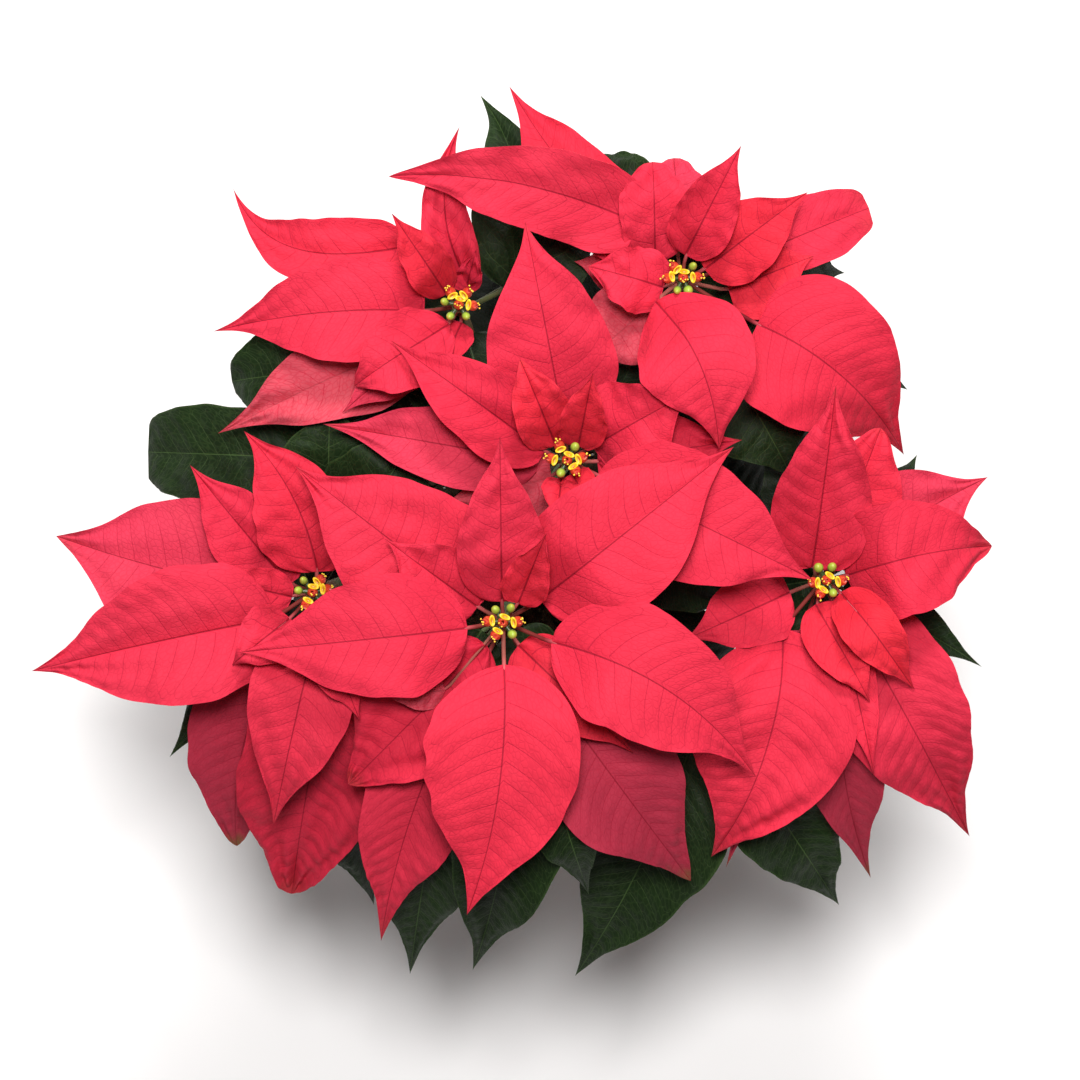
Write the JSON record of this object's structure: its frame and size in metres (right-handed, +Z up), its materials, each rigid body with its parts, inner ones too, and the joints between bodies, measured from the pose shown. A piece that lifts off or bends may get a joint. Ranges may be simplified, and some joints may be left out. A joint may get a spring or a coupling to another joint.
{
  "type": "potted poinsettia plant",
  "caption": "Potted poinsettia: broad red bracts in whorls round small yellow-green cyathia, over dark green leaves on branching stems, in a plain round pot",
  "frame": {"origin": "middle of the pot's underside", "axes": "+Z up; +Y towards the two back heads, -Y the front; +X to the right as seen from the front"},
  "size_m": [0.4396, 0.4172, 0.375],
  "materials": {
    "pot": "matt terracotta-coloured plastic",
    "soil": "crumbly dark potting mix",
    "wood": "grey-brown bark",
    "leaf": "soft dark green leaf with pale veins",
    "bract": "matt coral-red leaf tissue with darker veins",
    "cyathia": "waxy green with yellow glands"
  },
  "bodies": {
    "root": {"pot": "pot", "soil": "soil", "main_stem": "wood", "leafy_stem_front": "leaf", "bracts_front": "bract", "cyathia_front": "cyathia", "leafy_stem_middle": "leaf", "bracts_middle": "bract", "cyathia_middle": "cyathia", "leafy_stem_left": "leaf", "bracts_left": "bract", "cyathia_left": "cyathia", "leafy_stem_right": "leaf", "bracts_right": "bract", "cyathia_right": "cyathia", "leafy_stem_back_right": "leaf", "bracts_back_right": "bract", "cyathia_back_right": "cyathia", "leafy_stem_back_left": "leaf", "bracts_back_left": "bract", "cyathia_back_left": "cyathia"}
  },
  "joints": []
}
